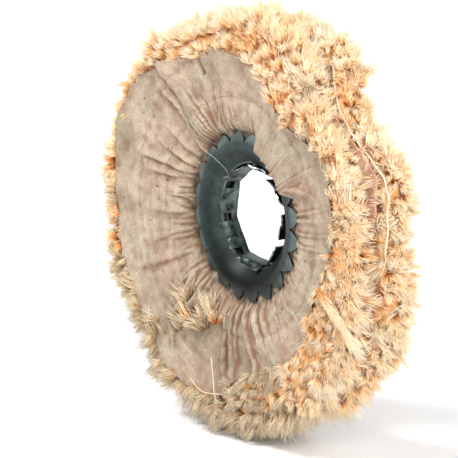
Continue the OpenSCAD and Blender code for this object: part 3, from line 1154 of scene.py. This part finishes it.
def woven_ply(name, side, k, node):
    """A disc of cloth thickened by Solidify, whose two layers are then set to the ply's two faces."""
    inner_r = 32
    edge = lambda angle: rims[side](angle) - 12 + 1.5 * noise(angle * 40, 0 * angle, 60 + k + side)
    ply, even_r, angle = cloth_disc(name, rings=10, around=300, inner_r=inner_r, edge=edge)
    apply_modifier(ply, "SOLIDIFY", thickness=MM, offset=0.0)
    room = edge(angle) - inner_r
    r = inner_r + room * ((even_r - inner_r) / room) ** 0.6
    top, bottom = ply_levels(side, r, angle, k)
    if k == 0:
        covered = 1 - smooth_step(r, cover_edges[side](angle) - 4, cover_edges[side](angle) + 1)
        top = top - 0.6 - 1.6 * covered + 0.9 * yarn_knuckles(r, angle) * (1 - covered)
    outer_face = on_wheel(r, angle, side * np.maximum(top, bottom + 0.4))
    set_places(ply, np.concatenate([outer_face, on_wheel(r, angle, side * bottom)]))
    ply.data.materials.append(woven_sisal)
    recalculate(ply)
    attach(ply, "root")
    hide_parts(node)


for side, word in ((FRONT, "front"), (BACK, "back")):
    for k in range(PLIES):
        woven_ply(f"{word}_woven_ply_{k + 1}", side, k, f"{word}_sisal_ply_{k + 1}")
print("woven plies:", 2 * PLIES)

# %% [markdown]
# ### Fibres
#
# One fibre is modelled: a three-sided spike, closed at its root, with one joint so that it can bend.
# A tuft is a fan of them from one root. All the fibres of a ply become one mesh, because more than a
# hundred thousand separate objects would be slow to draw. Real fibres are a fifth of a millimetre
# thick; these are drawn thicker, so that fewer of them fill a tuft.

# %% One fibre
def model_fibre():
    """A three-sided spike of unit length along Z with unit radius, and its faces."""
    bpy.ops.mesh.primitive_cone_add(
        vertices=3, radius1=1, radius2=0, depth=1, location=(0, 0, 0.5), end_fill_type="NGON"
    )
    fibre = bpy.context.object
    bpy.ops.object.transform_apply(location=True, rotation=False, scale=False)
    bpy.ops.object.mode_set(mode="EDIT")
    bpy.ops.mesh.select_all(action="SELECT")
    bpy.ops.mesh.bisect(plane_co=(0, 0, 0.55), plane_no=(0, 0, 1))
    bpy.ops.mesh.select_all(action="SELECT")
    bpy.ops.mesh.quads_convert_to_tris()
    bpy.ops.mesh.normals_make_consistent(inside=False)
    bpy.ops.object.mode_set(mode="OBJECT")
    shape = np.array([v.co for v in fibre.data.vertices])
    faces = np.array([p.vertices for p in fibre.data.polygons])
    bpy.data.objects.remove(fibre, do_unlink=True)
    return shape, faces


FIBRE_SHAPE, FIBRE_FACES = model_fibre()
print("one fibre:", len(FIBRE_FACES), "triangles")

# %% [markdown]
# The fibre is copied by arithmetic: one array holds the corners of all copies, which is far
# faster than copying objects. The spike is stretched to its length, bent towards its tip and laid
# along its way. A second small array says where each corner lies on the colour map.

# %% Many fibres in one mesh
# Fibres that reach past these are combed back: so far from the mid-plane, and from the axle.
NAP_HALF, RIM_LIMIT = 21.5, 137


def within(values, limit, share=0.2):
    """Keeps only a share of what goes beyond a limit on either side."""
    beyond = np.maximum(np.abs(values) - limit, 0)
    return np.sign(values) * (np.minimum(np.abs(values), limit) + share * beyond)


def unit(vectors):
    return vectors / np.maximum(np.linalg.norm(vectors, axis=-1, keepdims=True), 1e-9)


def grow_fibres(name, material, slot, roots, ways, lengths, widths, bends, tones):
    """One mesh of many fibres. Each leaves its root along its way, and its bend carries its tip."""
    across = unit(np.cross(ways, [0.3, 0.9, 0.2]))
    other = np.cross(ways, across)
    t = FIBRE_SHAPE[:, 2]
    round_part = FIBRE_SHAPE[:, :2] / np.maximum(1 - t, 1e-9)[:, None]
    taper = np.where(t > 0.99, 0, 1 - 0.35 * t)[:, None]
    ring = round_part * taper
    places = (
        roots[:, None] + ways[:, None] * (lengths[:, None] * t)[..., None]
        + bends[:, None] * (t**2)[:, None]
        + widths[:, None, None] * (across[:, None] * ring[:, :1] + other[:, None] * ring[:, 1:])
    ) * MM
    places[..., 1] = within(places[..., 1], NAP_HALF * MM)
    radius = np.hypot(places[..., 0], places[..., 2])
    combed = within(radius, RIM_LIMIT * MM) / radius
    places *= np.where(radius > RIM_LIMIT * MM, combed, 1)[..., None]
    places[..., 2] = np.maximum(places[..., 2], floor_z + 0.3 * MM)
    count, corners = len(roots), len(FIBRE_SHAPE)
    faces = (FIBRE_FACES[None] + np.arange(count)[:, None, None] * corners).reshape(-1, 3)
    mesh = bpy.data.meshes.new(name)
    mesh.vertices.add(count * corners)
    mesh.vertices.foreach_set("co", places.astype(np.float32).ravel())
    mesh.loops.add(faces.size)
    mesh.loops.foreach_set("vertex_index", faces.astype(np.int32).ravel())
    mesh.polygons.add(len(faces))
    mesh.polygons.foreach_set("loop_start", np.arange(0, faces.size, 3, dtype=np.int32))
    mesh.update(calc_edges=True)
    side_step = np.arctan2(FIBRE_SHAPE[:, 1], FIBRE_SHAPE[:, 0]) / (2 * pi) * 0.02
    u = np.clip(tones, 0.01, 0.97)[:, None] + side_step[None] * (1 - 0.5 * t)
    v = np.broadcast_to(0.02 + 0.96 * t, u.shape)
    uv = np.stack([u, v], -1).reshape(-1, 2)[faces.ravel()]
    mesh.uv_layers.new(name=FIBRE_MAP).data.foreach_set("uv", uv.astype(np.float32).ravel())
    mesh.materials.append(material)
    piece = bpy.data.objects.new(name, mesh)
    bpy.context.collection.objects.link(piece)
    mesh.polygons.foreach_set("use_smooth", np.ones(len(faces), bool))
    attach(piece, "root")
    print(name, count, "fibres,", len(faces), "triangles")
    return piece


# %% [markdown]
# A tuft is the frayed end of one yarn. It has a root, a way it points, a length and a tone. It
# parts into a few wisps that fan out, and each wisp is a dozen fibres that share one curl. Tufts
# on a face lean outwards like thatch, and those on the rim point away from the axle, each a
# little askew.

# %% Wisps and fibres
FIBRE_WIDTH = 0.29


def spread_from(rng, roots, ways, count, root_size, spread, jitter):
    """Splits each bundle into a number of smaller ones that start side by side and fan out."""
    every = np.repeat(np.arange(len(roots)), count)
    around = rng.uniform(0, 2 * pi, len(every))
    off = np.sqrt(rng.random(len(every)))[:, None]
    way = ways[every]
    across = unit(np.cross(way, [0.1, 1.0, 0.1]))
    other = np.cross(way, across)
    sideways = (across * np.cos(around)[:, None] + other * np.sin(around)[:, None]) * off
    new_way = unit(way + sideways * spread + jitter * rng.normal(size=way.shape))
    return every, roots[every] + sideways * root_size, new_way


def fan_out(rng, roots, ways, lengths, tones, wisps, fibres, root_size, spread):
    """Turns tufts into wisps and wisps into fibres, and returns what grow_fibres needs."""
    given_tones = tones
    tuft, roots, ways = spread_from(rng, roots, ways, wisps, root_size, spread * 1.5, 0.12)
    lengths = lengths[tuft] * rng.uniform(0.68, 1.06, len(tuft))
    tones = tones[tuft] + rng.normal(0, 0.07, len(tuft))
    curls = 0.26 * rng.normal(size=ways.shape) * np.minimum(lengths / 11, 1.5)[:, None]
    wisp, roots, ways = spread_from(rng, roots, ways, fibres, 0.62, 0.19, 0.045)
    total = len(wisp)
    lengths = lengths[wisp] * rng.uniform(0.78, 1.06, total)
    bends = (curls[wisp] + 0.07 * rng.normal(size=ways.shape)) * lengths[:, None]
    widths = FIBRE_WIDTH * rng.uniform(0.75, 1.3, total)
    is_brown = given_tones[tuft][wisp] > 0.8
    tones = tones[wisp] + rng.normal(0, 0.06, total)
    tones = np.where(is_brown, np.clip(tones, 0.85, CREAM), np.clip(tones, 0.01, GOLDEN))
    return roots, ways, lengths, widths, bends, tones

# %% [markdown]
# Tone changes slowly round the wheel, with some chance from tuft to tuft. The lower left of the
# front is the soiled part, and the longest fibres hang at the bottom.

# %% Tones and directions
def tone_of(rng, side, r, angle):
    """The tone of each tuft: soiled low down on the front's left, and pale to golden elsewhere."""
    tone = 0.32 + 0.30 * noise(angle * 6, r / 9, 80 + side) + rng.normal(0, 0.24, len(r))
    tone = np.clip(tone, 0.02, GOLDEN)
    tone *= 1 - 0.75 * low_down(angle)
    degrees = np.degrees(np.mod(angle, 2 * pi))
    share = 0.98 * np.exp(-(((degrees - 250) / 52) ** 6)) * (side == FRONT) + 0.01
    dirty = rng.random(len(r)) < share
    return np.where(dirty, rng.uniform(0.87, CREAM, len(r)), tone)


def axle_frame(angle):
    """Unit vectors away from the axle, and round it, for each angle."""
    out = np.stack([np.cos(angle), 0 * angle, np.sin(angle)], -1)
    around = np.stack([-np.sin(angle), 0 * angle, np.cos(angle)], -1)
    return out, around


def low_down(angle):
    """1 at the bottom of the wheel, where the longest fibres hang, and 0 a third of the way round."""
    return np.exp(-((np.degrees(angle_gap(angle, radians(-105))) / 32) ** 2))


Y_WAY = np.array([0.0, 1.0, 0.0])
NAP_TUFTS, NAP_STEP = 90, 7.0


def tuft_angles(rng, count, odd):
    """Angles spread evenly round the wheel, each a little askew. Odd rows lie between even ones."""
    return 2 * pi * (np.arange(count) + 0.5 * odd + rng.uniform(-0.35, 0.35, count)) / count

# %% [markdown]
# The tufts of a rim are spread between the two faces of their ply, and those next to the groove
# are set further in. The nap is rows of shorter tufts between a cover's cut edge and the rim.

# %% Rim and nap
def rim_tufts(side, k, seed):
    """The frayed edge of ply k. In one stretch of the front section it gapes away from the groove."""
    rng = np.random.default_rng(seed)
    tufts = 124 if k in (0, PLIES - 1) else 98
    angle = tuft_angles(rng, tufts, k % 2)
    rim_r = rims[side](angle) + rng.normal(0, 1.3, tufts)
    length = rng.uniform(8, 15, tufts)
    gaping = np.exp(-((np.degrees(angle_gap(angle, radians(31))) / 27) ** 4)) * (side == FRONT)
    inwards = 9 * (k == PLIES - 1) * (1 - gaping) * rng.random(tufts)
    r = rim_r - length * rng.uniform(0.80, 1.0, tufts) - inwards
    top, bottom = ply_levels(side, r, angle, k)
    level = side * (bottom + (top - bottom) * rng.uniform(0.2, 0.8, tufts))
    out, around = axle_frame(angle)
    fan_y = side * (0.34 - 0.18 * k - (k == PLIES - 1) * (0.35 - 0.7 * gaping))
    askew = around * rng.normal(0, 0.38, tufts)[:, None]
    ways = unit(out + askew + Y_WAY * (fan_y + rng.normal(0, 0.20, tufts))[:, None])
    roots = on_wheel(r, angle, level) / MM
    length = length * (1 + 0.5 * low_down(angle))
    tones = tone_of(rng, side, r, angle)
    return fan_out(rng, roots, ways, length, tones, 8, 13, root_size=1.2, spread=0.36)


def face_tufts(side, seed, edge, fibres, rows=6):
    """The nap beyond a cover's cut edge, in rows from the cover to the rim."""
    rng = np.random.default_rng(seed)
    places = []
    for row in range(rows):
        angle = tuft_angles(rng, NAP_TUFTS, row % 2)
        r = edge(angle) + 0.5 + NAP_STEP * row + rng.uniform(-2, 2, NAP_TUFTS)
        keep = r < rims[side](angle) - 8
        places.append(np.stack([r[keep], angle[keep]], -1))
    r, angle = np.concatenate(places).T
    tufts = len(r)
    length = rng.uniform(8, 12, tufts)
    out, around = axle_frame(angle)
    lift = rng.uniform(0.15, 0.95, tufts)
    ways = unit(out + around * rng.normal(0, 0.45, tufts)[:, None] + side * Y_WAY * lift[:, None])
    roots = on_wheel(r, angle, side * (np.minimum(face_height(side, r, angle), 15.6) - 1.8)) / MM
    tones = tone_of(rng, side, r, angle)
    return fan_out(rng, roots, ways, length, tones, 8, fibres, root_size=1.2, spread=0.38)


for side, word in ((FRONT, "front"), (BACK, "back")):
    for k in range(PLIES):
        tufts = rim_tufts(side, k, seed=100 + 10 * side + k)
        grow_fibres(f"{word}_frayed_rim_{k + 1}", sisal_fibre, "sisal_cloth", *tufts)
    nap = face_tufts(side, 200 + side, cover_edges[side], fibres=12 if side == FRONT else 8)
    half = len(nap[0]) // 2
    for part, chosen in (("inner", slice(None, half)), ("outer", slice(half, None))):
        fibres = (values[chosen] for values in nap)
        grow_fibres(f"{word}_face_nap_{part}", sisal_fibre, "sisal_cloth", *fibres)

# %% [markdown]
# ## Loose ends
#
# The rest is what years of use leave: threads that fray from the cut edges of the covers, sisal
# that pokes through a worn patch low on the left, one bundle that has come loose, a hair on the
# steel and grains of grit.

# %% Frayed cotton
frayed_cotton = new_material("frayed_cotton_thread", roughness=0.9, specular=0.2, colour="#e3cfb4")


def edge_threads(side, edge, count, seed, height):
    """Short threads that stick out of a cover's cut edge."""
    rng = np.random.default_rng(seed)
    angle = 2 * pi * np.sort(rng.random(count))
    out, around = axle_frame(angle)
    askew = around * rng.normal(0, 0.55, count)[:, None]
    ways = unit(out + askew + Y_WAY * rng.normal(0, 0.25, count)[:, None])
    r = edge(angle) - 0.6
    roots = on_wheel(r, angle, side * height(side, r, angle)) / MM
    length = rng.uniform(1.5, 5.5, count)
    bend = 0.35 * rng.normal(size=(count, 3)) * length[:, None]
    return roots, ways, length, rng.uniform(0.13, 0.22, count), bend, np.full(count, 0.2)


def above_face(side, r, angle):
    return face_height(side, r, angle) + 0.2


def above_groove(side, r, angle):
    return groove_height(r) + 0.3


for name, side, edge, count, seed, height in (
    ("front_cover_fraying", FRONT, front_cover_edge, 620, 301, above_face),
    ("back_cover_fraying", BACK, back_cover_edge, 560, 302, above_face),
    ("groove_cover_fraying", BACK, inner_cover_edge, 520, 303, above_groove),
):
    threads = edge_threads(side, edge, count, seed, height)
    grow_fibres(name, frayed_cotton, "cotton_cover", *threads)

# %% [markdown]
# ### Worn patch
#
# Where the cloth has worn thin, a clump of soiled sisal has worked its way out and lies flat on
# the face, pointing mostly upwards. At the lower left edge five tufts of it stick out sideways.
# All are fans of the same fibre as the rim.

# %% Sisal through the worn patch
rng = np.random.default_rng(77)
# Radius, angle in degrees, and the number of tufts there.
CLUMPS = ((84, 236, 8), (76, 243, 7), (68, 248, 5), (78, 230, 4))
clump_r = np.concatenate([at_r + rng.normal(0, 3.2, count) for at_r, _, count in CLUMPS])
clump_angle = np.concatenate([at + rng.normal(0, 2.2, count) for _, at, count in CLUMPS])
clump_angle = np.radians(clump_angle)
clump = len(clump_r)
heading = np.radians(rng.normal(112, 42, clump))
ways = unit(np.stack([np.cos(heading), -rng.uniform(0.05, 0.4, clump), np.sin(heading)], -1))
roots = on_wheel(clump_r, clump_angle, 0.4 - face_height(FRONT, clump_r, clump_angle)) / MM
tones = np.where(rng.random(clump) < 0.8, rng.uniform(0.86, 0.95, clump), 0.5)
grow_fibres("sisal_through_worn_patch", sisal_fibre, "sisal_cloth", *fan_out(
    rng, roots, ways, rng.uniform(9, 17, clump), tones, 6, 8, root_size=2.6, spread=0.42))

side_r = np.array([110.0, 114.0, 117.0, 108.0, 120.0])
side_angle = np.radians([229.0, 226.0, 223.0, 224.0, 227.0])
ways = unit(np.tile([-0.9, -0.15, 0.42], (5, 1)) + rng.normal(0, 0.12, (5, 3)))
roots = on_wheel(side_r, side_angle, 0.4 - face_height(FRONT, side_r, side_angle)) / MM
grow_fibres("sisal_past_left_edge", sisal_fibre, "sisal_cloth", *fan_out(
    rng, roots, ways, rng.uniform(12, 18, 5), np.full(5, 0.96), 5, 8, root_size=1.6, spread=0.2))

# %% [markdown]
# ### Loose bundle
#
# One thick bundle has come out of the front ply low on the right and lies over the rim, pointing
# down.

# %% Loose bundle
strand = 460
along = rng.random(strand)
off = rng.normal(0, 0.9, (strand, 3))
roots = on_wheel(86 + 32 * along, np.radians(-19 - 5.5 * along), np.full(strand, -20.5)) / MM + off
ways = unit(np.array([0.82, -0.10, -0.57]) + rng.normal(0, 0.06, (strand, 3)))
lengths = rng.uniform(14, 23, strand)
bends = 0.07 * rng.normal(size=(strand, 3)) * lengths[:, None]
widths = FIBRE_WIDTH * rng.uniform(0.8, 1.3, strand)
tones = 0.25 * rng.random(strand)
grow_fibres("loose_bundle", sisal_fibre, "sisal_cloth", roots, ways, lengths, widths, bends, tones)

# %% [markdown]
# ### Strand, long fibres and hair
#
# A strand of cotton, part of a cover's selvedge, has sprung loose and snakes along the groove on
# the tufts; both its ends run down among them. Three long single fibres lie across the bottom of
# the face, and a hair sticks to the steel. Each is a curve with a round bevel: the points are
# places it passes near, given by radius, angle and Y. The curve becomes a mesh at the end.

# %% Strand, long fibres and hair
def cord(name, material, thickness, points):
    """A smooth round strand along (radius, degrees, y) points."""
    bpy.ops.curve.primitive_nurbs_path_add()
    curve = bpy.context.object
    curve.name = name
    curve.data.splines.clear()
    spline = curve.data.splines.new("NURBS")
    spline.points.add(len(points) - 1)
    for point, (r, degrees, y) in zip(spline.points, points):
        a = radians(degrees)
        point.co = (r * cos(a) * MM, y * MM, r * sin(a) * MM, 1)
    spline.use_endpoint_u = True
    spline.order_u = 3
    curve.data.bevel_depth = thickness / 2 * MM
    curve.data.bevel_resolution = 1
    curve.data.use_fill_caps = True
    bpy.ops.object.convert(target="MESH")
    piece = bpy.context.object
    piece.data.materials.clear()
    piece.data.materials.append(material)
    recalculate(piece)
    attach(piece, "root")


cord("selvedge_strand", frayed_cotton, 1.2, [
    (100, 62, 0.4), (111, 59, 0.2), (119, 55.5, 0.7), (112.5, 52.4, 0), (105.8, 48.8, 1),
    (102.8, 44.5, 0), (102.6, 40.2, 1.1), (103.8, 35.5, 0), (106.4, 32.3, 1.1), (108, 29.3, 0),
    (111.8, 26.6, 1), (115.8, 22.8, 0), (120.6, 19.3, 1.2), (121.4, 16.3, 0.1),
    (121.4, 13.4, 1.3), (118.6, 9.3, 0), (117.8, 4.5, 1.3), (115.4, -0.5, 0.2),
    (115.8, -3.7, 1.2), (113.6, -7.1, 0.2), (108, -10.5, 0.6), (98, -13, 0.4),
])
cord("long_fibre_hanging", frayed_cotton, 0.55, [
    (90.2, 254.1, -17), (100.4, 258.1, -18.5), (110.1, 260.0, -19), (115.5, 262.8, -19.5),
])
cord("long_fibre_looped", frayed_cotton, 0.5, [
    (112.1, 246.8, -17.5), (113.7, 251.0, -18.5), (111.8, 256.2, -19), (106.3, 264.6, -18.5),
])
cord("long_fibre_dangling", frayed_cotton, 0.4, [
    (125.8, 244.6, -16), (128.1, 246.7, -17), (130.8, 248.1, -17), (133.6, 249.0, -17),
])
hair_grey = new_material("fine_hair", roughness=0.6, colour="#a7aaa2")
cord("hair_on_ring", hair_grey, 0.3, [
    (49, 138, -12.8), (43, 133, -12.9), (37, 131.5, -11.2), (31.5, 134, -7), (30.5, 139, -6),
])

# %% [markdown]
# ### Grit
#
# Grains of polishing grit stick to the face. Each is a small ball, flattened a little; all become
# one mesh.

# %% Grit
grit_black = new_material("polishing_grit", roughness=0.8, colour="#2b2622")
# Radius, angle in degrees, and size in mm.
GRIT = (
    (80, 176, 1.5), (96, 168, 1.0), (104, 153, 0.8), (96, 135, 0.7), (64, -13, 1.4),
    (88, -35, 1.2), (77, 13, 0.8), (75, -6, 0.9), (77, 155, 0.6), (93, -113, 0.9),
    (90, -103, 1.1), (66, -8, 0.8), (60, 120, 0.6), (86, 190, 0.6), (70, -20, 0.6),
    (72, 5, 0.6), (82, 165, 0.5), (58, 205, 0.6), (68, 100, 0.6), (92, 115, 0.6),
)
bpy.ops.object.select_all(action="DESELECT")
grains = []
for r, degrees, size in GRIT:
    a = radians(degrees)
    y = -face_height(FRONT, np.array([float(r)]), np.array([a]))[0] - 0.3
    spot = on_wheel(np.float64(r), a, y)
    bpy.ops.mesh.primitive_ico_sphere_add(subdivisions=1, radius=size / 2 * MM, location=spot)
    grain = bpy.context.object
    bpy.ops.transform.resize(value=(1.25, 0.5, 0.85))
    grains.append(grain)
for grain in grains:
    grain.select_set(True)
bpy.ops.object.join()
grit = bpy.context.object
grit.name = "stuck_grit"
bpy.ops.object.transform_apply(location=True, rotation=True, scale=True)
grit.data.materials.append(grit_black)
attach(grit, "root")
